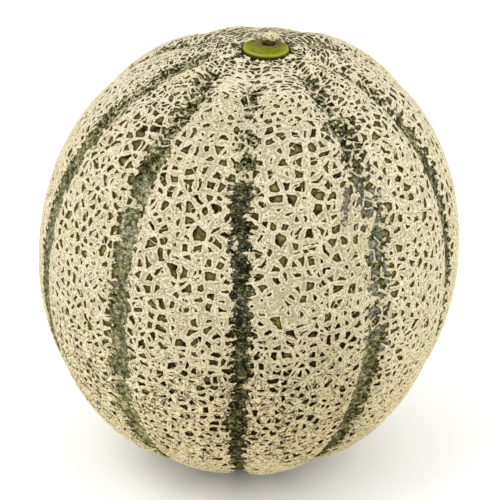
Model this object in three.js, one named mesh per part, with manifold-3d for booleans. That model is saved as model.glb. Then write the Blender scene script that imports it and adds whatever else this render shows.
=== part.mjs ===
import * as THREE from 'three';
import { mergeVertices } from 'three/addons/utils/BufferGeometryUtils.js';
import Module from 'manifold-3d';

const wasm = await Module();
wasm.setup();

// A whole netted cantaloupe in millimetres, +Z up, standing on its blossom end.
// The face in front looks towards -Y, and the origin lies on the table under the middle of the fruit.

// The fruit: half its width, then the height of each half and how square its outline is (2 is an ellipse)
const halfWidth = 70;
const crown = { height: 76.1, fullness: 2.12 };
const base = { height: 76.2, fullness: 1.976 };
const lean = 0.0332; // sideways shift of the axis for each mm of height
const crownBend = { right: 1.54, front: 3, power: 4 }; // how far the axis hooks over at the stem
const restTrim = 1.1; // height that the flat spot at the blossom end takes away

// Ribs in order round the fruit. Each starts at a groove with a longitude in degrees, 0 in front and
// growing towards +X, which drifts that much towards the stem. Then come the groove's depth and how far
// the rib after it swells out, in mm.
const ribs = [
  { groove: -72.0, drift: 0.2, depth: 0.9, swell: 0.7 },
  { groove: -37.2, drift: 0.4, depth: 1.45, swell: 0 },
  { groove: -2.4, drift: -1.6, depth: 1.15, swell: 1.2 },
  { groove: 35.8, drift: 1.6, depth: 1.3, swell: 1.6 },
  { groove: 69.9, drift: -0.5, depth: 1.2, swell: 0.5 },
  { groove: 108, drift: 1.0, depth: 1.6, swell: 1.1 },
  { groove: 149.5, drift: -1.5, depth: 0.5, swell: 0 },
  { groove: 180.3, drift: 0.6, depth: 0.4, swell: 0.5 },
  { groove: 215.6, drift: -0.8, depth: 1.25, swell: 1.2 },
  { groove: 244.6, drift: 1.2, depth: 0.9, swell: 0 },
];
const grooveHalfWidth = 3.8;
const waver = { degrees: 0.8, bends: 4 }; // each groove snakes by this much on its way down
const ribStart = 4; // degrees from either pole where the ribs start to rise
const ribFull = { crown: 22.6, base: 48.2 }; // and where they have their full height

// The stem scar: a button that leans back and to the right in a shallow seat, with a pit that holds the
// torn stub of the stalk
const button = {
  radius: 7.5, taper: 0.3, proud: 0.3, rim: 0.3, rimWidth: 0.7, polar: 2.8, longitude: 28,
  leanBack: 3.1, leanRight: 1.4,
};
const seatDepth = 2.0;
const pit = { radius: 2.6, floorRadius: 1.6, depth: 1.1, right: 0.9, back: 3.5 };
const stub = { neck: 1.0, waist: 0.9, tuft: 2.6, height: 3.7, lobes: 5, ragged: 0.12, right: 1.3, back: 3.5 };
const gap = 0.3; // between pieces that lie against each other

// Facets
const columnsPerRib = 11;
const rows = 40;
const crowding = 0.09; // how strongly the columns gather at the grooves
const roundSides = 36;
const stubSides = 20;
const sameSpot = 1e-4; // vertices closer than this are one

const radians = THREE.MathUtils.degToRad;

// A point on the smooth fruit before the ribs, lifted outwards by so many mm, from the equator's middle
function fruitPoint(polar, longitude, lift = 0) {
  const half = polar < Math.PI / 2 ? crown : base;
  const across = Math.abs(Math.sin(polar)) / halfWidth;
  const along = Math.abs(Math.cos(polar)) / half.height;
  const reach = Math.pow(across ** half.fullness + along ** half.fullness, -1 / half.fullness) + lift;
  const z = reach * Math.cos(polar);
  const spread = reach * Math.sin(polar);
  const hook = Math.max(z / crown.height, 0) ** crownBend.power;
  return new THREE.Vector3(
    spread * Math.sin(longitude) + lean * z + crownBend.right * hook,
    -spread * Math.cos(longitude) - crownBend.front * hook,
    z,
  );
}

// Where a groove runs at this polar angle; the one past the last is the first again, a turn further on
function grooveLongitude(index, polar) {
  const { groove, drift } = ribs[index % ribs.length];
  const snake = waver.degrees * Math.sin(waver.bends * polar + index % ribs.length);
  const turn = 360 * Math.floor(index / ribs.length);
  return radians(groove + turn + drift * Math.cos(polar) + snake * Math.sin(polar));
}

// The lift of the ribbed surface at a fraction of the way across a rib
function ribLift(index, fraction, polar) {
  const rib = ribs[index % ribs.length];
  const next = ribs[(index + 1) % ribs.length];
  const width = grooveLongitude(index + 1, polar) - grooveLongitude(index, polar);
  const arc = width * halfWidth * Math.sin(polar);
  const dip = (away) => Math.exp(-((away * arc / grooveHalfWidth) ** 2));
  const full = polar < Math.PI / 2 ? ribFull.crown : ribFull.base;
  const fade = THREE.MathUtils.smoothstep(
    Math.min(polar, Math.PI - polar), radians(ribStart), radians(full));
  const swell = rib.swell * Math.sin(Math.PI * fraction);
  return fade * (swell - rib.depth * dip(fraction) - next.depth * dip(1 - fraction));
}

// Columns crowd towards the grooves, where the surface turns fastest
function crowded(step) {
  return step - crowding * Math.sin(2 * Math.PI * step);
}

function ribbedFruit() {
  const geometry = new THREE.SphereGeometry(1, columnsPerRib * ribs.length, rows);
  const { position, uv } = geometry.attributes;
  for (let i = 0; i < position.count; i += 1) {
    const polar = Math.PI * (1 - uv.getY(i));
    const column = Math.round(uv.getX(i) * columnsPerRib * ribs.length);
    const index = Math.floor(column / columnsPerRib);
    const fraction = crowded(column / columnsPerRib - index);
    const longitude = THREE.MathUtils.lerp(
      grooveLongitude(index, polar), grooveLongitude(index + 1, polar), fraction);
    const point = fruitPoint(polar, longitude, ribLift(index, fraction, polar));
    position.setXYZ(i, point.x, point.y, point.z);
  }
  return geometry;
}

// The frame of the stem scar: its middle on the skin and its axis, which leans away from the skin's own
function stemFrame() {
  const [polar, longitude, step] = [radians(button.polar), radians(button.longitude), 0.02];
  const middle = fruitPoint(polar, longitude);
  const down = fruitPoint(polar + step, longitude).sub(middle);
  const round = fruitPoint(polar, longitude + step).sub(middle);
  const axis = down.cross(round).normalize()
    .applyAxisAngle(new THREE.Vector3(1, 0, 0), -radians(button.leanBack))
    .applyAxisAngle(new THREE.Vector3(0, 1, 0), radians(button.leanRight));
  const turn = new THREE.Quaternion().setFromUnitVectors(new THREE.Vector3(0, 0, 1), axis);
  return new THREE.Matrix4().compose(middle, turn, new THREE.Vector3(1, 1, 1));
}

// A turned shape with its axis along Z, from points given as radius and height
function turned(profile, sides) {
  const points = profile.map(([radius, height]) => new THREE.Vector2(radius, height));
  return new THREE.LatheGeometry(points, sides).rotateX(Math.PI / 2);
}

function toSolid(geometry) {
  const bare = geometry.clone();
  bare.deleteAttribute('normal');
  bare.deleteAttribute('uv');
  const merged = mergeVertices(bare, sameSpot);
  return new wasm.Manifold(new wasm.Mesh({
    numProp: 3,
    vertProperties: new Float32Array(merged.attributes.position.array),
    triVerts: new Uint32Array(merged.index.array),
  }));
}

function fromSolid(solid) {
  const { vertProperties, triVerts } = solid.getMesh();
  const geometry = new THREE.BufferGeometry();
  geometry.setAttribute('position', new THREE.BufferAttribute(new Float32Array(vertProperties), 3));
  geometry.setIndex(new THREE.BufferAttribute(new Uint32Array(triVerts), 1));
  return geometry;
}

function melonBody(frame) {
  const span = 4 * halfWidth;
  const table = new THREE.BoxGeometry(span, span, span).translate(0, 0, restTrim - base.height - span / 2);
  const seat = turned([[0, -seatDepth], [button.radius + gap, -seatDepth],
    [button.radius + gap, halfWidth], [0, halfWidth]], roundSides).applyMatrix4(frame);
  return fromSolid(toSolid(ribbedFruit()).subtract(toSolid(table)).subtract(toSolid(seat)));
}

// The button is a disc that narrows upwards, with a raised rim round a shallow dish
function stemButton(frame) {
  const floor = gap - seatDepth;
  const dish = button.proud - button.rim;
  const brow = button.radius - button.taper;
  const disc = turned([
    [0, floor], [button.radius, floor], [button.radius, 0],
    [brow, button.proud - button.taper / 2], [brow - button.taper / 2, button.proud],
    [brow - button.rimWidth, button.proud], [brow - 2 * button.rimWidth, dish], [0, dish],
  ], roundSides).applyMatrix4(frame);
  return fromSolid(toSolid(disc).subtract(toSolid(pitCutter(frame))));
}

function pitCutter(frame) {
  const mouth = button.proud + 1;
  return turned([
    [0, -pit.depth], [pit.floorRadius, -pit.depth],
    [pit.radius, button.proud - button.rim], [pit.radius, mouth], [0, mouth],
  ], roundSides).translate(pit.right, pit.back, 0).applyMatrix4(frame);
}

// The stub is a thin neck that opens into a ragged tuft
function stalkStub(frame) {
  const foot = gap - pit.depth;
  const top = button.proud + stub.height;
  const tall = (share) => THREE.MathUtils.lerp(foot, top, share);
  const geometry = turned([
    [0, foot], [stub.neck, foot], [stub.waist, tall(0.36)], [stub.tuft * 0.75, tall(0.5)],
    [stub.tuft, tall(0.68)], [stub.tuft * 0.9, tall(0.84)], [stub.tuft * 0.5, tall(0.96)], [0, top],
  ], stubSides);
  const { position } = geometry.attributes;
  for (let i = 0; i < position.count; i += 1) {
    const [x, y, z] = [position.getX(i), position.getY(i), position.getZ(i)];
    const grow = 1 + stub.ragged * Math.sin(stub.lobes * Math.atan2(y, x) + z);
    position.setXYZ(i, x * grow, y * grow, z);
  }
  return fromSolid(toSolid(geometry.translate(stub.right, stub.back, 0).applyMatrix4(frame)));
}

function namedMesh(name, geometry, colour, roughness) {
  const material = new THREE.MeshStandardMaterial({ color: colour, roughness, metalness: 0 });
  geometry.computeVertexNormals();
  const mesh = new THREE.Mesh(geometry, material);
  mesh.name = name;
  return mesh;
}

const frame = stemFrame();
const cantaloupe = new THREE.Group();
cantaloupe.add(
  namedMesh('melon', melonBody(frame), 0xc4b994, 0.85),
  namedMesh('stem_button', stemButton(frame), 0x7c7d2b, 0.55),
  namedMesh('stalk_stub', stalkStub(frame), 0xd2c893, 0.8),
);

// Stand the fruit on the table with the middle of its box over the origin
const box = new THREE.Box3().setFromObject(cantaloupe);
const centre = box.getCenter(new THREE.Vector3());
cantaloupe.position.set(-centre.x, -centre.y, -box.min.z);
cantaloupe.updateMatrixWorld(true);

export default cantaloupe;
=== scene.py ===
import math

import bpy
import numpy as np
from mathutils import Matrix, Vector, noise


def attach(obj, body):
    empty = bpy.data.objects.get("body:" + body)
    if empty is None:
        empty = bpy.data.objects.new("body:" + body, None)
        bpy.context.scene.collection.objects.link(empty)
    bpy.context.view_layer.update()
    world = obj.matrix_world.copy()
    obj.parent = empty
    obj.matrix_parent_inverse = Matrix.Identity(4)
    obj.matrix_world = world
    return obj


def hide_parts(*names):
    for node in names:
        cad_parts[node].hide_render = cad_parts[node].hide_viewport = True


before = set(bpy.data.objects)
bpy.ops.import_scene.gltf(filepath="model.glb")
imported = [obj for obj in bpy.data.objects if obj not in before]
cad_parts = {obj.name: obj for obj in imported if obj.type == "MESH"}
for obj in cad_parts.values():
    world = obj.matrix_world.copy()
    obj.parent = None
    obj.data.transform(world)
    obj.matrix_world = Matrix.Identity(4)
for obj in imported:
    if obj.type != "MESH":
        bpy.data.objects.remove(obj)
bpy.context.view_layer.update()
print("frame loaded:", ", ".join(sorted(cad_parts)))


# A socket of a node tree that can be added, multiplied and compared like a number
class Wire:
    def __init__(self, tree, socket=None):
        self.tree = tree
        self.socket = socket

    # one node of any kind: its settings first, then the values or wires of its inputs
    def node(self, kind, settings=None, inputs=None, output=0):
        made = self.tree.nodes.new(kind)
        for name, value in (settings or {}).items():
            if name == "stops":
                fillRamp(made.color_ramp, value)
            else:
                setattr(made, name, value)
        for key, value in (inputs or {}).items():
            if isinstance(value, Wire):
                self.tree.links.new(value.socket, made.inputs[key])
            elif isinstance(value, list):
                for wire in value:
                    self.tree.links.new(wire.socket, made.inputs[key])
            else:
                made.inputs[key].default_value = value
        return Wire(self.tree, made.outputs[output])

    def math(self, operation, *others):
        values = dict(enumerate((self,) + others))
        return self.node("ShaderNodeMath", {"operation": operation}, values)

    def vector(self, operation, *others, output=0):
        values = dict(enumerate((self,) + others))
        return self.node("ShaderNodeVectorMath", {"operation": operation}, values, output)

    def __add__(self, other):
        return self.math("ADD", other)

    def __radd__(self, other):
        return self.math("ADD", other)

    def __sub__(self, other):
        return self.math("SUBTRACT", other)

    def __rsub__(self, other):
        return self.number(other).math("SUBTRACT", self)

    def __mul__(self, other):
        return self.math("MULTIPLY", other)

    def __rmul__(self, other):
        return self.math("MULTIPLY", other)

    def __truediv__(self, other):
        return self.math("DIVIDE", other)

    def __rtruediv__(self, other):
        return self.number(other).math("DIVIDE", self)

    def __pow__(self, other):
        return self.math("POWER", other)

    def __neg__(self):
        return self.math("MULTIPLY", -1.0)

    def __abs__(self):
        return self.math("ABSOLUTE")

    def __lt__(self, other):
        return self.math("LESS_THAN", other)

    def __gt__(self, other):
        return self.math("GREATER_THAN", other)

    # a plain number as a wire
    def number(self, value):
        return self.node("ShaderNodeMath", {"operation": "ADD"}, {0: float(value), 1: 0.0})

    def least(self, other):
        return self.math("MINIMUM", other)

    def most(self, other):
        return self.math("MAXIMUM", other)

    # 0 below low, 1 above high and smooth between; low may be the larger
    def rise(self, low, high):
        return self.node("ShaderNodeMapRange", {"interpolation_type": "SMOOTHSTEP"},
                         {"Value": self, "From Min": low, "From Max": high})

    # low where this wire is 0 and high where it is 1
    def blend(self, low, high):
        return self.node("ShaderNodeMix", {"data_type": "FLOAT"}, {0: self, 2: low, 3: high})

    def scaled(self, factor):
        return self.node("ShaderNodeVectorMath", {"operation": "SCALE"}, {0: self, "Scale": factor})

    def parts(self):
        made = self.node("ShaderNodeSeparateXYZ", None, {0: self}).socket.node
        return [Wire(self.tree, socket) for socket in made.outputs]

    # a blend of two colours by this wire
    def tint(self, low, high, blend="MIX"):
        return self.node("ShaderNodeMix", {"data_type": "RGBA", "blend_type": blend},
                         {0: self, 6: low, 7: high}, 2)

    # noise from 0 to 1 whose lumps are about this long
    def noise(self, length, detail=2.0, seed=0.0, colour=False):
        return self.node("ShaderNodeTexNoise", {"noise_dimensions": "4D"},
                         {"Vector": self, "W": seed, "Scale": 1.0 / length, "Detail": detail},
                         1 if colour else 0)

    # Voronoi cells about this long: the distance to their walls, to their middles, or their colour
    def cells(self, length, feature="DISTANCE_TO_EDGE", output=0, space="3D", random=1.0):
        return self.node("ShaderNodeTexVoronoi", {"voronoi_dimensions": space, "feature": feature},
                         {"Vector": self, "Scale": 1.0 / length, "Randomness": random}, output)


def fillRamp(ramp, stops):
    while len(ramp.elements) > 1:
        ramp.elements.remove(ramp.elements[-1])
    ramp.elements[0].position, ramp.elements[0].color = stops[0]
    for position, colour in stops[1:]:
        ramp.elements.new(position).color = colour


brightness = 1.3  # how much of a white sheet's light the studio gives back


# A colour as it is seen on a screen, 0 to 255, in the renderer's own numbers
def seen(red, green, blue):
    return tuple(((part / 255 + 0.055) / 1.055) ** 2.4 / brightness for part in (red, green, blue)) + (1.0,)


socketKinds = {int: "NodeSocketInt", float: "NodeSocketFloat", tuple: "NodeSocketVector"}


# A Geometry Nodes tree with one named input for each of the piece's sizes
def startTree(name, sizes):
    tree = bpy.data.node_groups.new(name, "GeometryNodeTree")
    for label, value in sizes.items():
        tree.interface.new_socket(name=label, in_out="INPUT", socket_type=socketKinds[type(value)])
    tree.interface.new_socket(name="Geometry", in_out="OUTPUT", socket_type="NodeSocketGeometry")
    entry = tree.nodes.new("NodeGroupInput")
    wires = {label: Wire(tree, entry.outputs[label]) for label in sizes}
    return tree, Wire(tree), wires


def endTree(geometry, material):
    whole = geometry.node("GeometryNodeRealizeInstances", None, {0: geometry})
    dressed = whole.node("GeometryNodeSetMaterial", None, {"Geometry": whole, "Material": material})
    leave = geometry.tree.nodes.new("NodeGroupOutput")
    geometry.tree.links.new(dressed.socket, leave.inputs[0])


# Runs a tree on an empty mesh with these sizes and returns the plain mesh that it grows
def growMesh(tree, sizes):
    carrier = bpy.data.objects.new(tree.name, bpy.data.meshes.new(tree.name))
    bpy.context.scene.collection.objects.link(carrier)
    modifier = carrier.modifiers.new("grow", "NODES")
    modifier.node_group = tree
    for item in tree.interface.items_tree:
        if item.in_out == "INPUT":
            modifier[item.identifier] = sizes[item.name]
    grown = carrier.evaluated_get(bpy.context.evaluated_depsgraph_get())
    mesh = bpy.data.meshes.new_from_object(grown)
    bpy.data.objects.remove(carrier)
    return mesh


def addPiece(name, mesh, node):
    piece = bpy.data.objects.new(name, mesh)
    bpy.context.scene.collection.objects.link(piece)
    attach(piece, "root")
    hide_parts(node)
    return piece


# The melon's outline and ribs as the solids have them, in mm, and the last four in degrees
fruit = {
    "halfWidth": 70.0,
    "crownHeight": 76.1,
    "crownFullness": 2.12,  # 2 is an ellipse
    "baseHeight": 76.2,
    "baseFullness": 1.976,
    "lean": 0.0332,
    "bendRight": 1.54,
    "bendFront": 3.0,
    "grooveHalfWidth": 3.8,
    "restTrim": 1.1,
    "waver": 0.8,
    "ribStart": 4.0,
    "crownRibFull": 22.6,
    "baseRibFull": 48.2,
}
# groove longitude and drift in degrees, its depth and the next rib's swell in mm, how dark the bare
# band along it is at the crown, in the middle and at the foot, half of the band's width in mm, how patchy
# it is, and how fine the next rib's net is
ribs = [
    {"groove": -72.0, "drift": 0.2, "depth": 0.9, "swell": 0.7,
     "shade": (0.66, 0.58, 0.35), "band": 4.2, "patchy": 0.6, "fine": 1.14},
    {"groove": -37.2, "drift": 0.4, "depth": 1.45, "swell": 0.0,
     "shade": (0.66, 0.52, 0.42), "band": 3.3, "patchy": 0.9, "fine": 1.0},
    {"groove": -2.4, "drift": -1.6, "depth": 1.15, "swell": 1.2,
     "shade": (0.62, 1.05, 0.92), "band": 2.8, "patchy": 0.85, "fine": 1.0},
    {"groove": 35.8, "drift": 1.6, "depth": 1.3, "swell": 1.6,
     "shade": (0.95, 0.56, 0.62), "band": 3.5, "patchy": 1.5, "fine": 1.14},
    {"groove": 69.9, "drift": -0.5, "depth": 1.2, "swell": 0.5,
     "shade": (0.74, 0.7, 0.5), "band": 3.0, "patchy": 1.0, "fine": 1.08},
    {"groove": 108.0, "drift": 1.0, "depth": 1.6, "swell": 1.1,
     "shade": (0.45, 0.5, 0.3), "band": 2.4, "patchy": 1.0, "fine": 1.04},
    {"groove": 149.5, "drift": -1.5, "depth": 0.5, "swell": 0.0,
     "shade": (0.6, 0.8, 0.6), "band": 2.6, "patchy": 0.8, "fine": 1.0},
    {"groove": 180.3, "drift": 0.6, "depth": 0.4, "swell": 0.5,
     "shade": (0.5, 0.6, 0.4), "band": 2.3, "patchy": 1.3, "fine": 1.08},
    {"groove": 215.6, "drift": -0.8, "depth": 1.25, "swell": 1.2,
     "shade": (0.6, 0.9, 0.7), "band": 2.6, "patchy": 1.0, "fine": 1.0},
    {"groove": 244.6, "drift": 1.2, "depth": 0.9, "swell": 0.0,
     "shade": (0.5, 0.5, 0.3), "band": 2.6, "patchy": 0.8, "fine": 1.2},
]


# Where groove number i runs, in radians, at a polar angle
def grooveLine(polar, index):
    rib = ribs[index % len(ribs)]
    snake = (polar * 4.0 + float(index % len(ribs))).math("SINE") * polar.math("SINE")
    turn = 360.0 * (index // len(ribs))
    degrees = polar.math("COSINE") * rib["drift"] + snake * fruit["waver"] + (rib["groove"] + turn)
    return degrees * (math.pi / 180)


# The ribs' lift in mm, and what each point keeps: the way to the nearest groove in mm, that groove's
# shade, half width and patches, the rib's number and fineness, the place across it from 0 to 1 and the
# mm from its middle
def ribFields(polar, longitude, size):
    girth = polar.math("SINE") * size["halfWidth"]
    toCrown, toFoot = polar.rise(1.2, 0.55), polar.rise(1.2, 2.2)
    lines = [grooveLine(polar, index) for index in range(len(ribs) + 1)]
    lift, kept = None, {}
    for index, rib in enumerate(ribs):
        crown, middle, foot = rib["shade"]
        shade = toCrown * (crown - middle) + toFoot * (foot - middle) + middle
        width = lines[index + 1] - lines[index]
        share = (longitude - lines[index]).math("WRAP", 2 * math.pi, 0.0) / width
        inside = share < 1.0
        arc = abs((longitude - lines[index]).math("WRAP", math.pi, -math.pi)) * girth
        swell = (share.least(1.0) * math.pi).math("SINE") * rib["swell"]
        dip = (-((arc / size["grooveHalfWidth"]) ** 2.0)).math("EXPONENT") * rib["depth"]
        if index == 0:
            lift = swell - dip
            kept = {"rib": inside * 0.0, "across": inside * share, "away": arc,
                    "sideways": inside * (share - 0.5) * width * girth, "fine": inside * rib["fine"],
                    "shade": shade, "bandHalf": polar.number(rib["band"]),
                    "patchy": polar.number(rib["patchy"])}
            continue
        nearer = arc < kept["away"]
        lift = lift + swell - dip
        kept["rib"] = kept["rib"] + inside * float(index)
        kept["across"] = kept["across"] + inside * share
        kept["sideways"] = kept["sideways"] + inside * (share - 0.5) * width * girth
        kept["fine"] = kept["fine"] + inside * rib["fine"]
        kept["patchy"] = nearer.blend(kept["patchy"], rib["patchy"])
        kept["shade"] = nearer.blend(kept["shade"], shade)
        kept["bandHalf"] = nearer.blend(kept["bandHalf"], rib["band"])
        kept["away"] = kept["away"].least(arc)
    top = polar.rise(math.radians(fruit["ribStart"]), math.radians(fruit["crownRibFull"]))
    low = (math.pi - polar).rise(math.radians(fruit["ribStart"]), math.radians(fruit["baseRibFull"]))
    return lift * (polar < math.pi / 2).blend(low, top), kept


def store(geometry, name, value, kind="FLOAT"):
    return geometry.node("GeometryNodeStoreNamedAttribute", {"data_type": kind, "domain": "POINT"},
                         {"Geometry": geometry, "Name": name, "Value": value})


def recall(pen, name, kind="FLOAT"):
    return pen.node("GeometryNodeInputNamedAttribute", {"data_type": kind}, {"Name": name})


# the net of cork in mm: the mesh and half the strands' width of its two nets and of the rings round the
# stem, how far those rings reach, and the two ends of the healed scratch
net = {
    "subdivisions": 9,
    "halfWidth": fruit["halfWidth"],
    "grooveHalfWidth": fruit["grooveHalfWidth"],
    "netHeight": 0.8,
    "wideMesh": 8.0,
    "fineMesh": 4.0,
    "capMesh": 3.0,
    "wideStrand": 0.6,
    "fineStrand": 0.78,
    "capStrand": 0.5,
    "curlHalf": 0.17,
    "warp": 1.2,
    "stemPlace": (0.0, 0.0, 75.0),
    "stemAxis": (0.0, 0.0, 1.0),
    "capZone": 25.0,
    "seatRadius": 7.7,
    "seatDepth": 1.9,
    "shift": (0.0, 0.0, 0.0),
    "scratchTop": (31.0, -50.0, 45.4),
    "scratchFoot": (29.4, -55.7, 36.8),
}


def melonTree(rind):
    tree, pen, size = startTree("netted melon", net)
    ball = pen.node("GeometryNodeMeshIcoSphere", None, {
        "Radius": 1.0, "Subdivisions": size["subdivisions"]})
    x, y, z = pen.node("GeometryNodeInputPosition").parts()
    polar = z.least(1.0).most(-1.0).math("ARCCOSINE")
    longitude = x.math("ARCTAN2", -y)
    lift, kept = ribFields(polar, longitude, size)
    ball = store(ball, "polar", polar)
    ball = store(ball, "turn", longitude)
    for name, value in kept.items():
        ball = store(ball, name, value)

    # the ribbed body
    upper = polar < math.pi / 2
    height = upper.blend(fruit["baseHeight"], fruit["crownHeight"])
    full = upper.blend(fruit["baseFullness"], fruit["crownFullness"])
    wide = abs(polar.math("SINE")) / size["halfWidth"]
    tall = abs(polar.math("COSINE")) / height
    reach = (wide ** full + tall ** full) ** (-1.0 / full) + lift
    rise = reach * polar.math("COSINE")
    spread = reach * polar.math("SINE")
    hook = (rise / fruit["crownHeight"]).most(0.0) ** 4.0
    right = spread * longitude.math("SINE") + rise * fruit["lean"] + hook * fruit["bendRight"]
    front = -(spread * longitude.math("COSINE")) - hook * fruit["bendFront"]
    place = pen.node("ShaderNodeCombineXYZ", None, {0: right, 1: front, 2: rise})
    body = pen.node("GeometryNodeSetPosition", None, {"Geometry": ball, "Position": place})

    # lengths in mm on the body's own surface
    at = pen.node("GeometryNodeInputPosition")
    polar, away = recall(pen, "polar"), recall(pen, "away")
    fromStem = at.vector("SUBTRACT", size["stemPlace"])
    above = fromStem.vector("DOT_PRODUCT", size["stemAxis"], output=1)
    flat = fromStem.vector("SUBTRACT", size["stemAxis"].scaled(above))
    stemAway = flat.vector("LENGTH", output=1) + (above < -40.0) * 100.0
    lower = polar.rise(1.35, 2.2)
    swirl = at.noise(6.0, 1.0, 1.0, True).vector("SUBTRACT", (0.5, 0.5, 0.5))
    shiver = at.noise(1.8, 1.0, 2.0, True).vector("SUBTRACT", (0.5, 0.5, 0.5))
    bent = swirl.scaled(size["warp"] * 2.0).vector("ADD", shiver.scaled(0.6))
    warped = at.vector("ADD", bent)

    # a flat map of each rib in mm, whose cells get finer towards the stem and the blossom end
    top = polar.rise(0.75, 0.4)
    turn = recall(pen, "turn")
    sides = abs(turn + 0.1).rise(0.25, 0.6) * abs(turn).rise(2.4, 1.7)
    finer = top * 0.65 + polar.rise(1.3, 1.9) * 0.17 + 1.0
    along = polar * 73.0 - (0.58 - polar).most(0.0) * 47.0 + (polar - 1.6).most(0.0) * 13.0
    ribFine = recall(pen, "fine")
    flatMap = pen.node("ShaderNodeCombineXYZ", None, {
        0: recall(pen, "sideways") * finer * ribFine + recall(pen, "rib") * 211.3,
        1: along * ribFine, 2: 0.0})
    flatMap = flatMap.vector("ADD", bent)

    # two nets over each other, whose strands differ in width from place to place
    region = at.noise(17.0, 1.0, 4.0)
    width = warped.noise(4.5, 1.0, 3.0)
    fine = warped.noise(2.0, 1.0, 5.0)
    moved = flatMap.vector("ADD", (31.0, 7.0, 0.0))
    wideMesh = moved.cells(size["wideMesh"], space="2D") * size["wideMesh"]
    fineMesh = flatMap.cells(size["fineMesh"], space="2D", random=0.85) * size["fineMesh"]
    fineMiddle = flatMap.cells(size["fineMesh"], "F1", space="2D", random=0.85) * size["fineMesh"]
    grow = (region * 0.6 + 0.7) * (lower * 0.09 + 1.0)
    behind = abs(turn).rise(1.8, 2.4) * polar.rise(0.56, 0.44)
    opened = sides * (0.34 + turn.rise(0.3, -0.5) * 0.14) + behind * 0.5 - 0.19
    opened = polar.rise(0.9, 0.62) * opened
    wideWay = wideMesh - size["wideStrand"] * (width * 1.6 + 0.2) * grow * (1.0 - opened * 0.6)
    belt = polar.rise(0.85, 1.0) * polar.rise(1.6, 1.4) * abs(turn).rise(1.0, 0.7)
    fineWay = fineMesh - size["fineStrand"] * (fine * 1.0 + 0.5) * grow * (1.0 - opened + belt * 0.1)
    fineWay = fineWay + (fineMiddle - 1.7) * 0.2
    frayed = (at.noise(0.75, 1.0, 12.0) - 0.5) * 0.6
    woven = wideWay.least(fineWay) + frayed
    crossing = fineMesh - 0.2

    # round the stem the cells lie in rings, and the strands on its far side are thinner
    turned = flat.vector("NORMALIZE").scaled(stemAway * 0.55 + 6.5)
    ringed = turned.vector("ADD", size["stemAxis"].scaled(stemAway * 1.8)).vector("ADD", swirl.scaled(1.8))
    beside = abs(flat.parts()[0]) / stemAway.most(1.0)
    farSide = flat.parts()[1].rise(0.0, 7.0) * stemAway.rise(32.0, 24.0)
    closing = stemAway.rise(9.0, 23.0) * (0.5 - sides * 0.24) * (1.0 - farSide * 0.7) + 0.5 - farSide * 0.08
    capStrand = size["capStrand"] * (fine * 1.3 + 0.35) * closing
    capWay = ringed.cells(size["capMesh"]) * size["capMesh"] - capStrand
    hoop = ((stemAway + (region - 0.5) * 5.0) / 1.9).math("FRACT")
    hoop = abs(hoop - 0.5) * 1.9 - 0.26 * (fine + 0.5) + at.noise(9.0, 0.0, 16.0).rise(0.5, 0.44) * 3.0
    bare = stemAway.rise(14.0, 8.5) * beside.rise(0.5, 0.9) * (at.noise(3.5, 1.0, 17.0) - 0.5) * 4.0
    capWay = (capWay + bare).least(hoop + 0.1) + frayed * 0.5
    nearStem = (stemAway + (width - 0.5) * 9.0).rise(size["capZone"] + 2.0, size["capZone"] - 2.0)
    hole = nearStem.blend(woven, capWay)

    # thin curls of cork that cross some of the holes
    curl = abs(warped.noise(3.4, 0.0, 6.0) - 0.5) * 6.0 - size["curlHalf"] * (fine * 1.2 + 0.4)
    curled = at.noise(7.0, 1.0, 8.0).rise(0.6, 0.5 - lower * 0.1)
    hole = hole.least(curl + curled * -3.0 + 3.0)

    # bare bands along the grooves, with tongues, bridges and flecks of cork, and one long healed scratch
    squat = at.vector("MULTIPLY", (1.0, 1.0, 1.7))
    patchy = recall(pen, "patchy")
    patchy = patchy - (patchy - 0.8).most(0.0) * polar.rise(1.5, 1.85)
    lumps = squat.noise(5.0, 1.0, 7.0) - 0.5
    nibble = squat.noise(2.2, 1.0, 9.0) - 0.5
    crumb = squat.noise(0.9, 1.0, 10.0) - 0.5
    bridge = squat.noise(7.0, 0.0, 14.0).rise(0.62, 0.74)
    begin = (stemAway + lumps * 20.0).rise(22.0, 13.0)
    islands = polar.rise(0.85, 0.4) * (1.2 - (at.noise(5.0, 1.0, 15.0) - 0.5) * 14.0) * patchy
    band = recall(pen, "bandHalf") - away + (lumps * 6.0 + nibble * 7.0) * patchy + crumb * 4.2
    band = band - begin * 8.0 - bridge * 3.0 - lower * 0.3 - islands
    lattice = at.cells(4.2) * 4.2 - 0.3 * (fine + 0.5)
    lattice = lattice + (1.4 - patchy).most(0.0) * polar.rise(0.7, 0.95) * 40.0
    band = band.least(lattice)
    start = at.vector("SUBTRACT", size["scratchTop"])
    scratch = size["scratchFoot"].vector("SUBTRACT", size["scratchTop"])
    lengthSquared = scratch.vector("DOT_PRODUCT", scratch, output=1)
    share = start.vector("DOT_PRODUCT", scratch, output=1) / lengthSquared
    nearest = scratch.scaled(share.most(0.0).least(1.0))
    aside = start.vector("SUBTRACT", nearest).vector("LENGTH", output=1)
    band = band.most(1.35 - aside + nibble * 2.0 + crumb * 1.6)
    hole = hole.most(band)
    ring = size["seatRadius"] + 0.3 + beside ** 3.0 * 0.7 - stemAway + nibble * 3.0
    hole = hole.most(ring.least(crossing))

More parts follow.
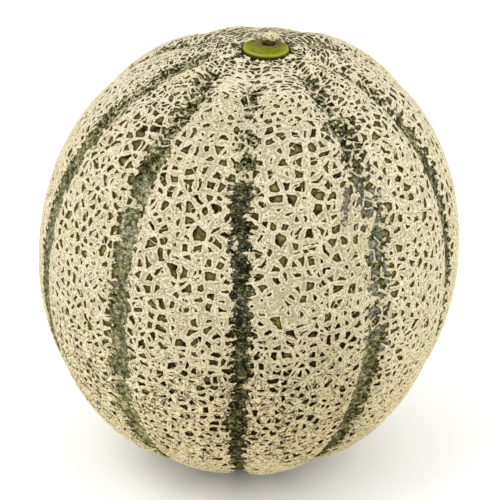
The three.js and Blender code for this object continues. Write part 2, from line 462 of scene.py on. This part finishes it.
    # heights over the green skin, lower towards the stem
    shade = recall(pen, "shade")
    inHole = hole.rise(-0.2, 0.22)
    inBand = band.rise(-0.3, 0.3)
    grain = at.noise(0.9, 2.0, 11.0) - 0.5
    swell = at.noise(3.2, 1.0, 13.0) - 0.5
    fibre = (at.noise(2.0, 0.0, 36.0) * 28.0 + hole * 3.0).math("SINE")
    rough = (grain * 0.3 + swell * 0.22) * (1.0 + lower * 0.6) + fibre * (lower * 0.13 + 0.01)
    floorGrain = grain * (0.1 + inBand * 0.5)
    deep = inBand.blend(1.0, shade * 0.7 + 0.15) * size["netHeight"]
    deep = deep * (1.0 - top * 0.4) * (1.0 - farSide * 0.65)
    relief = inHole.blend(rough, floorGrain - deep) - 0.12
    seat = (stemAway < size["seatRadius"]) * (above > -40.0)
    relief = seat.blend(relief, -(above + size["seatDepth"]))
    body = store(body, "hole", hole)
    body = store(body, "band", band)
    body = store(body, "patchy", patchy)
    body = store(body, "scratch", (aside + crumb).rise(2.2, 1.2))
    body = store(body, "skin", at, "FLOAT_VECTOR")
    offset = pen.node("GeometryNodeInputNormal").scaled(relief)
    body = pen.node("GeometryNodeSetPosition", None, {"Geometry": body, "Offset": offset})

    # down to the flat spot, then into metres over the frame's origin
    x, y, z = pen.node("GeometryNodeInputPosition").vector("ADD", size["shift"]).parts()
    standing = pen.node("ShaderNodeCombineXYZ", None, {0: x * 0.001, 1: y * 0.001, 2: z.most(0.0) * 0.001})
    body = pen.node("GeometryNodeSetPosition", None, {"Geometry": body, "Position": standing})
    endTree(body, rind)
    return tree


# A bare material with one shader, and the pen that draws in its tree
def startMaterial(name):
    material = bpy.data.materials.new(name)
    material.use_nodes = True
    material.node_tree.nodes.clear()
    return material, Wire(material.node_tree)


def endMaterial(material, inputs):
    pen = Wire(material.node_tree)
    shader = pen.node("ShaderNodeBsdfPrincipled", None, inputs)
    leave = pen.tree.nodes.new("ShaderNodeOutputMaterial")
    pen.tree.links.new(shader.socket, leave.inputs["Surface"])
    return material


def felt(pen, name, output=2):
    return pen.node("ShaderNodeAttribute", {"attribute_name": name}, None, output)


def ramp(wire, *stops):
    return wire.node("ShaderNodeValToRGB", {"stops": stops}, {0: wire})


def rindMaterial():
    material, pen = startMaterial("nettedRind")
    hole, band, shade = felt(pen, "hole"), felt(pen, "band"), felt(pen, "shade")
    patchy, scratch = felt(pen, "patchy"), felt(pen, "scratch")
    skin = felt(pen, "skin", 1)

    # cream cork, greyer in the middle of its strands and at the crown, browner and fibrous below, with
    # painted highlights on its fibres and strand edges and painted shade in front, in its clefts, at the
    # top edge and low on the belly
    sideways, back, height = skin.parts()
    low = height.rise(10.0, -42.0)
    nearStem = skin.vector("DISTANCE", net["stemPlace"], output=1).rise(19.0, 12.0)
    # darker and browner low on the belly towards the middle: painted shade and the cork's own browner tone
    bellyShadeAndTan = height.rise(25.0, -15.0) * height.rise(-62.0, -30.0) * abs(sideways - 10.0).rise(46.0, 12.0)
    crown = height.rise(44.0, 62.0)
    broad = skin.noise(11.0, 2.0, 21.0)
    hue = skin.noise(3.6, 3.0, 26.0)
    small = skin.noise(1.0, 3.0, 22.0)
    tiny = skin.noise(0.38, 1.0, 23.0)
    dust = skin.noise(0.56, 1.0, 28.0)
    cork = broad.rise(0.35, 0.65).tint(seen(202, 190, 150), seen(222, 211, 172))
    cork = (crown * 0.7).tint(cork, seen(214, 206, 178))
    cork = (nearStem * 0.3).tint(cork, seen(244, 238, 214))
    # greyer and darker at the top edge behind the stem: partly the cork's own grey, partly painted shade
    cork = (height.rise(66.0, 73.0) * back.rise(-4.0, 8.0) * 0.9).tint(cork, seen(176, 169, 148))
    cork = (hue.rise(0.51, 0.64) * 0.5).tint(cork, seen(216, 192, 158))
    cork = (hue.rise(0.47, 0.34) * 0.4).tint(cork, seen(200, 200, 150))
    cork = (small.rise(0.48, 0.3) * 0.5).tint(cork, seen(166, 146, 100))
    cork = (dust.rise(0.48, 0.32) * 0.9).tint(cork, seen(132, 114, 70))
    cork = (dust.rise(0.5, 0.64) * 0.95).tint(cork, seen(255, 249, 222))
    cork = (tiny.rise(0.53, 0.66) * 0.95).tint(cork, seen(112, 92, 50))
    # the strands' middles are greyer, more so in front; that extra grey in front and the darkening after it
    # are painted shade, the front lit less than the sides
    front = abs(sideways).rise(56.0, 18.0)
    cork = (hole.rise(-0.4, -0.9) * (0.3 + front * 0.3)).tint(cork, seen(196, 184, 152))
    paintedFrontShade = front * height.rise(82.0, 62.0) * (1.0 - low * 0.6)
    cork = paintedFrontShade.tint(cork, (0.87, 0.87, 0.86, 1.0), "MULTIPLY")
    fibre = (skin.noise(2.0, 0.0, 36.0) * 28.0 + hole * 3.0).math("SINE")
    patch = skin.noise(4.0, 1.0, 34.0).rise(0.4, 0.54)
    knots = skin.vector("ADD", skin.noise(2.0, 1.0, 39.0, True).scaled(3.0)).cells(3.2) * 3.2
    wormy = height.rise(14.0, -26.0) * height.rise(-70.0, -46.0) * (sideways.rise(52.0, 12.0) * 0.7 + 0.3)
    # painted highlights on the fibres' crests and coils and painted shade in their troughs, strongest low
    # on the belly
    cork = (fibre.rise(0.1, 0.9) * (wormy * 0.7 + low * 0.2 + 0.08)).tint(cork, seen(255, 246, 200))
    cork = (fibre.rise(0.0, -0.8) * (wormy * 0.5 + 0.05)).tint(cork, seen(158, 132, 76))
    coilHighlight = knots.rise(0.25, 0.5) * knots.rise(1.1, 0.7)
    cork = (coilHighlight * (wormy * 0.6 + 0.08)).tint(cork, seen(255, 246, 200))
    # painted shade: dark brown in the clefts between the fibres
    shadedCleft = (knots.rise(0.36, 0.16) * patch).most(fibre.rise(-0.7, -0.95) * patch)
    cork = (shadedCleft * (wormy * 0.8 + 0.04)).tint(cork, seen(76, 50, 12))
    # painted highlight: a thin pale line along the strands' edges round the holes
    rim = hole.rise(-0.6, -0.3) * hole.rise(-0.02, -0.14) * small.rise(0.3, 0.5)
    cork = (rim * 0.6 * (1.0 - band.rise(-1.5, -0.5) * 0.6)).tint(cork, seen(252, 243, 208))
    # painted shade with a browner tone low on the belly
    cork = bellyShadeAndTan.tint(cork, (0.86, 0.83, 0.78, 1.0), "MULTIPLY")
    cork = low.tint(cork, (1.0, 0.955, 0.88, 1.0), "MULTIPLY")
    rightRib = sideways.rise(0.0, 14.0) * sideways.rise(50.0, 30.0) * height.rise(48.0, 30.0)
    cork = rightRib.tint(cork, (0.94, 0.94, 0.92, 1.0), "MULTIPLY")
    # painted shade low on the right
    lowRightShade = sideways.rise(12.0, 30.0) * height.rise(-38.0, -62.0)
    cork = lowRightShade.tint(cork, (0.92, 0.92, 0.93, 1.0), "MULTIPLY")
    cork = (hole.rise(-0.1, 0.02) * (0.8 - crown * 0.6)).tint(cork, seen(150, 132, 70))

    # green skin at the bottom of the holes, with painted shade darkest at their edges, low down, in front
    # and near the stem, and darker in random patches
    # painted shade in the holes, deeper low down, in front, near the stem and in random patches
    holeShade = skin.noise(3.5, 1.0, 38.0) - 0.56 + bellyShadeAndTan * 0.2 + low * 0.08 + front * 0.07 + nearStem * 0.1
    holeShade = holeShade * 6.0
    depth = hole + (small - 0.5) * 0.6
    # painted shade: each hole's floor is darkest at its edges and olive in its middle
    olive = ramp(depth, (0.0, seen(78, 66, 30)), (0.3, seen(84, 76, 36)), (0.6, seen(118, 113, 58)),
                 (0.85, seen(134, 132, 72)), (1.0, seen(142, 144, 86)))
    olive = holeShade.most(0.0).least(1.0).tint(olive, (0.14, 0.1, 0.05, 1.0), "MULTIPLY")
    under = skin.vector("MULTIPLY", (1.0, 1.0, 0.0)).vector("LENGTH", output=1) + (height > -60.0) * 99.0
    cork = (under.rise(7.0, 4.5) * (0.6 + small * 0.4)).tint(cork, seen(120, 88, 46))

    # the bare bands: blotched green, bluish where they are patchy and purple in the scratch
    mottle = skin.noise(1.3, 4.0, 24.0)
    fleck = skin.vector("MULTIPLY", (1.0, 1.0, 1.7)).noise(0.75, 2.0, 27.0)
    tone = (mottle - 0.5) * (crown * 1.6 + 2.2) + (fleck - 0.5) * (shade * 2.0 + crown + 0.2) + 1.0
    tone = tone + (broad - 0.5) * 0.6 - shade * 0.72 - band.rise(0.7, 0.1) * (1.2 - shade) * 0.28
    slate = ramp(tone, (0.0, seen(14, 13, 0)), (0.28, seen(46, 44, 12)), (0.52, seen(92, 91, 52)),
                 (0.78, seen(138, 136, 94)), (1.0, seen(190, 184, 142)))
    cold = ramp(tone, (0.0, seen(34, 34, 20)), (0.45, seen(98, 101, 84)), (0.75, seen(138, 142, 125)),
                (1.0, seen(184, 179, 152)))
    blue = skin.noise(5.0, 1.0, 37.0).rise(0.42, 0.56) * (patchy.rise(1.2, 1.4) * 0.6 + 0.38)
    blue = blue * (1.0 - crown * 0.7)
    slate = (blue * (1.0 - low)).tint(slate, cold)
    slate = (scratch * 0.8).tint(slate, fleck.rise(0.3, 0.62).tint(seen(76, 66, 54), seen(154, 140, 126)))
    slate = (low * 0.6).tint(slate, (1.0, 0.96, 0.7, 1.0), "MULTIPLY")
    green = band.rise(-0.6, 0.3).most(nearStem * 0.5).tint(olive, slate)
    # painted glints: tiny pale specks on the green skin
    glintSpeck = skin.cells(0.9, "F1").rise(0.16, 0.08) * (skin.noise(2.4, 1.0, 25.0) > 0.5)
    green = (glintSpeck * 0.7).tint(green, seen(206, 202, 164))
    open = hole.rise(-0.05, 0.08)
    colour = open.tint(cork, green)

    coils = (fibre + knots.least(0.6) * 3.0) * (wormy * 0.5 + 0.06)
    bumps = (1.0 - open * 0.6) * (small * 0.8 + dust * 0.7 + coils)
    normal = pen.node("ShaderNodeBump", None, {"Strength": 0.9, "Distance": 0.0002, "Height": bumps})
    return endMaterial(material, {
        "Base Color": colour, "Roughness": 0.9 - open * 0.3, "Normal": normal, "Specular IOR Level": 0.03})


def fleshMaterial():
    material = bpy.data.materials.new("melonFlesh")
    material.use_nodes = True
    shader = material.node_tree.nodes["Principled BSDF"]
    shader.inputs["Base Color"].default_value = seen(222, 190, 110)
    shader.inputs["Roughness"].default_value = 0.6
    return material


def readAttribute(mesh, name, count, width=1):
    values = np.empty(count * width, np.float32)
    mesh.attributes[name].data.foreach_get("vector" if width == 3 else "value", values)
    return values.reshape(count, width) if width > 1 else values


# places and widths on each rib's baking map, as shares of its side
bakeMap = {"edge": 0.02, "tall": 0.95, "ribWidth": 0.37, "topMiddle": 0.2, "lowMiddle": 0.6,
           "firstWall": 0.81, "secondWall": 0.9, "wallWidth": 0.07}


# Cuts the whole melon along its grooves into closed wedges, one for each rib, because a piece holds
# fewer triangles than the net needs
def cutRibs(whole, core, rind, flesh):
    count = len(whole.vertices)
    points = np.empty(count * 3, np.float32)
    whole.vertices.foreach_get("co", points)
    points = points.reshape(count, 3)
    normals = np.empty(count * 3, np.float32)
    whole.vertices.foreach_get("normal", normals)
    normals = normals.reshape(count, 3)
    corners = np.empty(len(whole.loops), np.int32)
    whole.loops.foreach_get("vertex_index", corners)
    faces = corners.reshape(-1, 3)
    rib = readAttribute(whole, "rib", count)
    polar = readAttribute(whole, "polar", count)
    across = readAttribute(whole, "across", count)
    names = ("hole", "band", "shade", "patchy", "scratch")
    kept = {name: readAttribute(whole, name, count) for name in names}
    skin = readAttribute(whole, "skin", count, 3)
    ofFace = np.sort(np.round(rib[faces]).astype(int), axis=1)[:, 1]  # the middle one of its corners
    pieces = []
    for index in range(len(ribs)):
        chosen = faces[ofFace == index]
        used, local = np.unique(chosen, return_inverse=True)
        local = local.reshape(-1, 3)
        edges = np.concatenate([local[:, [0, 1]], local[:, [1, 2]], local[:, [2, 0]]])
        key = edges[:, 0].astype(np.int64) * len(used) + edges[:, 1]
        back = edges[:, 1].astype(np.int64) * len(used) + edges[:, 0]
        rimEdges = edges[~np.isin(key, back)]
        apex = len(used)
        walls = np.column_stack([rimEdges[:, 1], rimEdges[:, 0], np.full(len(rimEdges), apex)])
        allFaces = np.concatenate([local, walls])
        allPoints = np.concatenate([points[used], [core]])
        mesh = bpy.data.meshes.new(f"rib{index + 1:02d}")
        mesh.vertices.add(len(allPoints))
        mesh.vertices.foreach_set("co", allPoints.astype(np.float32).ravel())
        mesh.loops.add(allFaces.size)
        mesh.loops.foreach_set("vertex_index", allFaces.astype(np.int32).ravel())
        mesh.polygons.add(len(allFaces))
        mesh.polygons.foreach_set("loop_start", np.arange(0, allFaces.size, 3, dtype=np.int32))
        mesh.update(calc_edges=True)
        mesh.materials.append(rind)
        mesh.materials.append(flesh)
        slots = np.zeros(len(allFaces), np.int32)
        slots[len(local):] = 1
        mesh.polygons.foreach_set("material_index", slots)
        for name, values in kept.items():
            layer = mesh.attributes.new(name, "FLOAT", "POINT")
            layer.data.foreach_set("value", np.append(values[used], 0).astype(np.float32))
        layer = mesh.attributes.new("skin", "FLOAT_VECTOR", "POINT")
        ownSkin = np.append(skin[used], [[0, 0, 0]], axis=0).astype(np.float32)
        layer.data.foreach_set("vector", ownSkin.ravel())

        # the baking map: the rib's two halves side by side, and the walls in a strip beside them
        theta = np.append(polar[used], math.pi / 2)
        share = np.append(across[used], 0.5)
        share = np.where(np.abs(share - 0.5) > 0.5, 0.5, share)
        chart = np.empty((len(allFaces), 3, 2))
        middle = theta[local].mean(1, keepdims=True)
        isLow = middle > math.pi / 2
        t = theta[local]
        s = share[local]
        # a corner just past a groove belongs to the next rib, so its share is taken as this rib's edge
        foreign = np.round(rib[used][local]).astype(int) != index
        neighbour = np.where(foreign, np.nan, s)
        side = np.nanmean(neighbour, axis=1, keepdims=True)
        s = np.where(foreign, np.where(side > 0.5, 1.0, 0.0), s)
        u = (s - 0.5) * np.sin(t) * bakeMap["ribWidth"]
        edge, tall = bakeMap["edge"], bakeMap["tall"]
        top = np.stack([bakeMap["topMiddle"] + u, edge + t / (math.pi / 2) * tall], 2)
        low = np.stack([bakeMap["lowMiddle"] + u, edge + (math.pi - t) / (math.pi / 2) * tall], 2)
        chart[:len(local)] = np.where(isLow[:, :, None], low, top)
        wallSide = share[walls[:, 0]] > 0.5
        wallU = np.where(wallSide, bakeMap["secondWall"], bakeMap["firstWall"])[:, None]
        wallV = theta[walls]
        wallV[:, 2] = wallV[:, :2].mean(1)
        chart[len(local):, :, 0] = wallU + np.array([[0.0, 0.0, bakeMap["wallWidth"]]])
        chart[len(local):, :, 1] = edge + wallV / math.pi * tall
        layer = mesh.uv_layers.new(name="OFBake")
        layer.uv.foreach_set("vector", chart.astype(np.float32).ravel())

        mesh.polygons.foreach_set("use_smooth", np.ones(len(allFaces), bool))
        loopNormals = np.empty((allFaces.size, 3), np.float32)
        loopNormals[:local.size] = normals[used][local].reshape(-1, 3)
        a, b, c = (allPoints[walls[:, k]] for k in range(3))
        wallNormals = np.cross(b - a, c - a)
        wallNormals /= np.linalg.norm(wallNormals, axis=1, keepdims=True) + 1e-12
        loopNormals[local.size:] = np.repeat(wallNormals, 3, axis=0)
        mesh.normals_split_custom_set(loopNormals)
        pieces.append(addPiece(mesh.name, mesh, "melon"))
        print(mesh.name, len(allFaces), "triangles")
    return pieces


def bodyPoint(polar, longitude):
    upper = polar < math.pi / 2
    height = fruit["crownHeight"] if upper else fruit["baseHeight"]
    full = fruit["crownFullness"] if upper else fruit["baseFullness"]
    wide, tall = abs(math.sin(polar)) / fruit["halfWidth"], abs(math.cos(polar)) / height
    reach = (wide ** full + tall ** full) ** (-1 / full)
    z, spread = reach * math.cos(polar), reach * math.sin(polar)
    hook = max(z / fruit["crownHeight"], 0) ** 4
    return Vector((spread * math.sin(longitude) + fruit["lean"] * z + fruit["bendRight"] * hook,
                   -spread * math.cos(longitude) - fruit["bendFront"] * hook, z))


# the stem scar's middle and axis, in mm from the equator's middle
scar = {"polar": 2.8, "longitude": 28.0, "leanBack": 3.1, "leanRight": 1.4}
polar0, longitude0, step = math.radians(scar["polar"]), math.radians(scar["longitude"]), 0.02
scarPlace = bodyPoint(polar0, longitude0)
scarDown = bodyPoint(polar0 + step, longitude0) - scarPlace
scarRound = bodyPoint(polar0, longitude0 + step) - scarPlace
scarAxis = scarDown.cross(scarRound).normalized()
scarAxis.rotate(Matrix.Rotation(-math.radians(scar["leanBack"]), 3, "X"))
scarAxis.rotate(Matrix.Rotation(math.radians(scar["leanRight"]), 3, "Y"))

equator = fruit["baseHeight"] - fruit["restTrim"]
net["stemPlace"] = tuple(scarPlace)
net["stemAxis"] = tuple(scarAxis)
net["shift"] = (-0.267, 0.255, equator)  # puts the middle of the solids' box over the origin

rind, flesh = rindMaterial(), fleshMaterial()
whole = growMesh(melonTree(rind), net)
print("melon grown:", len(whole.polygons), "triangles")
core = np.array([0.0, 0.0, equator * 0.001])
cutRibs(whole, core, rind, flesh)
print("ribs cut")

# The stem scar lies in a frame of its own, in mm, with its axis square to the skin
scarTurn = Vector((0, 0, 1)).rotation_difference(scarAxis).to_matrix().to_4x4()
scarFrame = (Matrix.Scale(0.001, 4) @ Matrix.Translation(Vector(net["shift"]) + scarPlace) @ scarTurn)

button = {"radius": 7.5, "brow": 7.2, "proud": 0.3, "rim": 0.1, "rimWidth": 0.35, "floor": -1.7,
          "rings": 64, "sides": 192}
pit = {"place": (0.9, 3.5), "mouth": 2.6, "floor": 1.6, "depth": 1.1}


def smooth(value, low, high):
    share = min(max((value - low) / (high - low), 0.0), 1.0)
    return share * share * (3 - 2 * share)


# Height of the button's upper face: a worn rim round a shallow dish with an off-centre pit
def buttonHeight(x, y):
    radius, angle = math.hypot(x, y), math.atan2(y, x)
    bumps = noise.noise(Vector((x, y, 3.0)) * 0.9) * 0.16 + noise.noise(Vector((x, y, 7.0)) * 2.6) * 0.07
    rim = smooth(radius, button["brow"] - 2.2 * button["rimWidth"], button["brow"] - button["rimWidth"])
    height = button["proud"] - button["rim"] * (1 - rim) + bumps * (0.4 + 0.6 * (1 - rim))
    away = math.hypot(x - pit["place"][0], y - pit["place"][1]) + 0.25 * math.sin(3 * angle + 1)
    sunk = 1 - smooth(away, pit["floor"], pit["mouth"])
    return height * (1 - sunk) - pit["depth"] * sunk


def buttonMesh():
    sides, rings = button["sides"], button["rings"]
    points, faces = [(0.0, 0.0, buttonHeight(0.0, 0.0))], []
    levels = [("top", button["brow"] * (ring + 1) / rings) for ring in range(rings)]
    levels += [("side", share) for share in (0.15, 0.3, 0.45, 0.6, 0.8, 1.0)]
    for kind, value in levels:
        for side in range(sides):
            turn = 2 * math.pi * side / sides
            ragged = 1 + 0.012 * noise.noise(Vector((math.cos(turn), math.sin(turn), 0.5)) * 3)
            flare = (button["radius"] - button["brow"]) * smooth(value, 0.0, 0.5)
            reach = value if kind == "top" else button["brow"] + flare
            x, y = reach * ragged * math.cos(turn), reach * ragged * math.sin(turn)
            height = buttonHeight(x, y) if kind == "top" else None
            if kind == "side":
                edge = buttonHeight(button["brow"] * math.cos(turn), button["brow"] * math.sin(turn))
                height = edge + (button["floor"] - edge) * value
            points.append((x, y, height))
    points.append((0.0, 0.0, button["floor"]))
    last = len(points) - 1
    for side in range(sides):
        follow = (side + 1) % sides
        faces.append((0, 1 + side, 1 + follow))
        for level in range(len(levels) - 1):
            inner, outer = 1 + level * sides, 1 + (level + 1) * sides
            faces.append((inner + side, outer + side, outer + follow, inner + follow))
        edge = 1 + (len(levels) - 1) * sides
        faces.append((edge + follow, edge + side, last))
    mesh = bpy.data.meshes.new("stemButton")
    mesh.from_pydata(points, [], faces)
    spot = mesh.attributes.new("spot", "FLOAT_VECTOR", "POINT")
    spot.data.foreach_set("vector", np.array(points, np.float32).ravel())
    mesh.transform(scarFrame)
    mesh.polygons.foreach_set("use_smooth", np.ones(len(faces), bool))
    return mesh


def buttonMaterial():
    material, pen = startMaterial("greenScar")
    spot = felt(pen, "spot", 1)
    x, y, z = spot.parts()
    out = (x * x + y * y) ** 0.5
    side, back = x - pit["place"][0], y - pit["place"][1]
    fromPit = (side * side + back * back) ** 0.5
    mottle = spot.noise(1.6, 3.0, 31.0)
    grit = spot.noise(0.4, 2.0, 32.0)
    angle = pen.node("ShaderNodeCombineXYZ", None, {
        0: side / fromPit, 1: back / fromPit, 2: fromPit * 0.08})
    streak = angle.noise(0.16, 2.0, 33.0)
    olive = mottle.rise(0.35, 0.65).tint(seen(112, 114, 4), seen(138, 141, 12))
    worn = (5.6 - fromPit + (mottle - 0.5) * 5.0 + back * 0.25).rise(-1.2, 1.6)
    brown = streak.rise(0.42, 0.6).tint(seen(78, 62, 34), seen(134, 122, 78))
    colour = (worn * 0.85).tint(olive, brown)
    colour = (grit.rise(0.55, 0.75) * 0.4).tint(colour, seen(90, 88, 20))
    edge = out.rise(5.4, 7.0) * back.rise(0.5, -4.0)
    colour = (edge * 0.6).tint(colour, seen(150, 156, 28))
    # painted highlight: a beaded pale line along the scar's rim
    rim = abs(out - button["brow"] + 0.05).rise(0.24, 0.1) * grit.rise(0.3, 0.55)
    colour = (rim * 0.7).tint(colour, seen(182, 186, 84))
    # painted shade: the scar's side wall darkens downwards
    colour = z.rise(-0.1, -0.7).tint(colour, seen(58, 58, 10))
    inPit = fromPit.rise(2.55, 1.9)
    # the pit is brown, with painted shade darkening it towards its bottom
    colour = inPit.tint(colour, z.rise(-1.0, -0.4).tint(seen(34, 20, 2), seen(90, 68, 26)))
    # painted glints: a few pale specks on the scar
    glintSpeck = spot.cells(2.6, "F1").rise(0.1, 0.06)
    colour = (glintSpeck * 0.8).tint(colour, seen(236, 232, 200))
    normal = pen.node("ShaderNodeBump", None, {
        "Strength": 0.6, "Distance": 0.0002, "Height": grit + mottle + streak * worn})
    return endMaterial(material, {"Base Color": colour, "Roughness": 0.6, "Normal": normal,
                                  "Specular IOR Level": 0.08})


tuft = {
    "foot": (1.2, 3.5, -0.9),
    "middle": (1.4, 3.5, 2.5),
    "spread": (2.1, 1.5, 0.85),
    "crumble": 2.4,
    "neck": 0.95,
    "fibreCount": 1.5,
    "fibreLength": 0.7,
    "fibreHalf": 0.26,
    "seed": 5,
}


# The torn stub of the stalk: a thin neck, a crumbled head and frayed fibres that stand out of it
def stubTree(material):
    tree, pen, size = startTree("frayed stub", tuft)
    ball = pen.node("GeometryNodeMeshIcoSphere", None, {"Radius": 1.0, "Subdivisions": 5})
    at = pen.node("GeometryNodeInputPosition")
    ragged = at.noise(0.5, 2.0, 41.0, True).vector("SUBTRACT", (0.5, 0.5, 0.5)).scaled(size["crumble"])
    place = at.vector("ADD", ragged).vector("MULTIPLY", size["spread"]).vector("ADD", size["middle"])
    head = pen.node("GeometryNodeSetPosition", None, {"Geometry": ball, "Position": place})

    line = pen.node("GeometryNodeCurvePrimitiveLine", None, {"Start": size["foot"], "End": size["middle"]})
    line = pen.node("GeometryNodeResampleCurve", None, {"Curve": line, "Count": 14})
    share = pen.node("GeometryNodeSplineParameter")
    wide = (share - 0.45) ** 2.0 * 1.6 + 0.85 + at.noise(0.8, 1.0, 42.0) * 0.3
    line = pen.node("GeometryNodeSetCurveRadius", None, {"Curve": line, "Radius": wide * size["neck"]})
    ring = pen.node("GeometryNodeCurvePrimitiveCircle", None, {"Resolution": 24, "Radius": 1.0})
    neck = pen.node("GeometryNodeCurveToMesh", None, {
        "Curve": line, "Profile Curve": ring, "Fill Caps": True})

    bow = pen.node("ShaderNodeCombineXYZ", None, {0: 0.1, 1: 0.0, 2: size["fibreLength"] * 0.5})
    tip = pen.node("ShaderNodeCombineXYZ", None, {
        0: size["fibreLength"] * 0.45, 1: 0.0, 2: size["fibreLength"] * 0.85})
    fibre = pen.node("GeometryNodeCurveQuadraticBezier", None, {
        "Resolution": 7, "Start": (0.0, 0.0, -0.25), "Middle": bow, "End": tip})
    taper = 1.0 - pen.node("GeometryNodeSplineParameter") * 0.65
    fibre = pen.node("GeometryNodeSetCurveRadius", None, {"Curve": fibre, "Radius": taper})
    thin = pen.node("GeometryNodeCurvePrimitiveCircle", None, {
        "Resolution": 6, "Radius": size["fibreHalf"]})
    fibre = pen.node("GeometryNodeCurveToMesh", None, {
        "Curve": fibre, "Profile Curve": thin, "Fill Caps": True})
    spots = pen.node("GeometryNodeDistributePointsOnFaces", None, {
        "Mesh": head, "Density": size["fibreCount"], "Seed": size["seed"]})
    turn = Wire(tree, spots.socket.node.outputs["Rotation"])
    spin = pen.node("FunctionNodeRandomValue", {"data_type": "FLOAT_VECTOR"}, {
        0: (-0.5, -0.5, -3.0), 1: (0.5, 0.5, 3.0), "Seed": size["seed"]})
    turn = pen.node("FunctionNodeRotateRotation", {"rotation_space": "LOCAL"}, {0: turn, 1: spin})
    long = pen.node("FunctionNodeRandomValue", {"data_type": "FLOAT"}, {
        2: 0.45, 3: 1.2, "Seed": size["seed"]}, 1)
    fibres = pen.node("GeometryNodeInstanceOnPoints", None, {
        "Points": spots, "Instance": fibre, "Rotation": turn, "Scale": long})
    whole = pen.node("GeometryNodeJoinGeometry", None, {0: [fibres, neck, head]})
    whole = pen.node("GeometryNodeRealizeInstances", None, {0: whole})
    whole = store(whole, "spot", pen.node("GeometryNodeInputPosition"), "FLOAT_VECTOR")
    whole = pen.node("GeometryNodeSetShadeSmooth", None, {"Geometry": whole, "Shade Smooth": True})
    endTree(whole, material)
    return tree


def stubMaterial():
    material, pen = startMaterial("dryStalk")
    spot = felt(pen, "spot", 1)
    height = spot.parts()[2]
    strand = spot.vector("MULTIPLY", (1.0, 1.0, 0.35)).noise(0.35, 2.0, 43.0)
    lump = spot.noise(0.9, 2.0, 44.0)
    pale = strand.rise(0.35, 0.6).tint(seen(214, 204, 140), seen(255, 253, 220))
    pale = (lump.rise(0.5, 0.36) * 0.8).tint(pale, seen(152, 134, 50))
    amber = strand.rise(0.4, 0.65).tint(seen(66, 42, 6), seen(130, 104, 32))
    colour = (height + (lump - 0.5) * 1.4).rise(1.3, 2.0).tint(amber, pale)
    normal = pen.node("ShaderNodeBump", None, {
        "Strength": 0.7, "Distance": 0.0002, "Height": strand + lump})
    return endMaterial(material, {"Base Color": colour, "Roughness": 0.8, "Normal": normal,
                                  "Specular IOR Level": 0.2})


disc = buttonMesh()
disc.materials.append(buttonMaterial())
addPiece("stemButton", disc, "stem_button")
frayed = growMesh(stubTree(stubMaterial()), tuft)
frayed.transform(scarFrame)
addPiece("stalkStub", frayed, "stalk_stub")
print("stem placed:", len(disc.polygons), "and", len(frayed.polygons), "faces")

# plain pale floor
floorMesh = bpy.data.meshes.new("floor")
half = 6.0
floorMesh.from_pydata([(-half, -half, 0), (half, -half, 0), (half, half, 0), (-half, half, 0)],
                      [], [(0, 1, 2, 3)])
floor = bpy.data.objects.new("floor", floorMesh)
bpy.context.scene.collection.objects.link(floor)
paper = bpy.data.materials.new("palePaper")
paper.use_nodes = True
paperShader = paper.node_tree.nodes["Principled BSDF"]
paperShader.inputs["Base Color"].default_value = (0.99, 0.99, 0.99, 1)
paperShader.inputs["Roughness"].default_value = 0.9
floorMesh.materials.append(paper)

# soft studio light
world = bpy.data.worlds.new("studio")
bpy.context.scene.world = world
world.use_nodes = True
world.node_tree.nodes["Background"].inputs["Color"].default_value = (1, 1, 1, 1)
world.node_tree.nodes["Background"].inputs["Strength"].default_value = 1.0
lamps = [
    {"name": "keyLight", "from": (-0.4, -0.3, 0.9), "strength": 0.5, "spread": 25},
    {"name": "leftLight", "from": (-0.9, -0.15, 0.4), "strength": 1.15, "spread": 90},
    {"name": "rightLight", "from": (0.9, -0.15, 0.35), "strength": 1.4, "spread": 90},
]
for lamp in lamps:
    sun = bpy.data.lights.new(lamp["name"], "SUN")
    sun.energy = lamp["strength"]
    sun.angle = math.radians(lamp["spread"])
    holder = bpy.data.objects.new(lamp["name"], sun)
    bpy.context.scene.collection.objects.link(holder)
    holder.rotation_euler = (-Vector(lamp["from"])).to_track_quat("-Z", "Y").to_euler()

# the camera, as far away and as high as the photograph's
view = {"distance": 0.98, "elevation": 26.2, "lens": 210.7, "right": 0.0044, "up": 0.0047,
        "belowEquator": 0.000385}
camera = bpy.data.cameras.new("camera")
camera.lens = view["lens"]
camera.sensor_width = 36.0
camera.shift_x, camera.shift_y = view["right"], view["up"]
camera.clip_start, camera.clip_end = 0.05, 20.0
tilt = math.radians(view["elevation"])
looker = bpy.data.objects.new("camera", camera)
bpy.context.scene.collection.objects.link(looker)
middle = Vector(net["shift"]) * 0.001 - Vector((0, 0, view["belowEquator"]))
away = Vector((0, -math.cos(tilt), math.sin(tilt)))
looker.location = middle + away * view["distance"]
looker.rotation_euler = (-away).to_track_quat("-Z", "Y").to_euler()
bpy.context.scene.camera = looker
bpy.context.scene.view_settings.view_transform = "Standard"
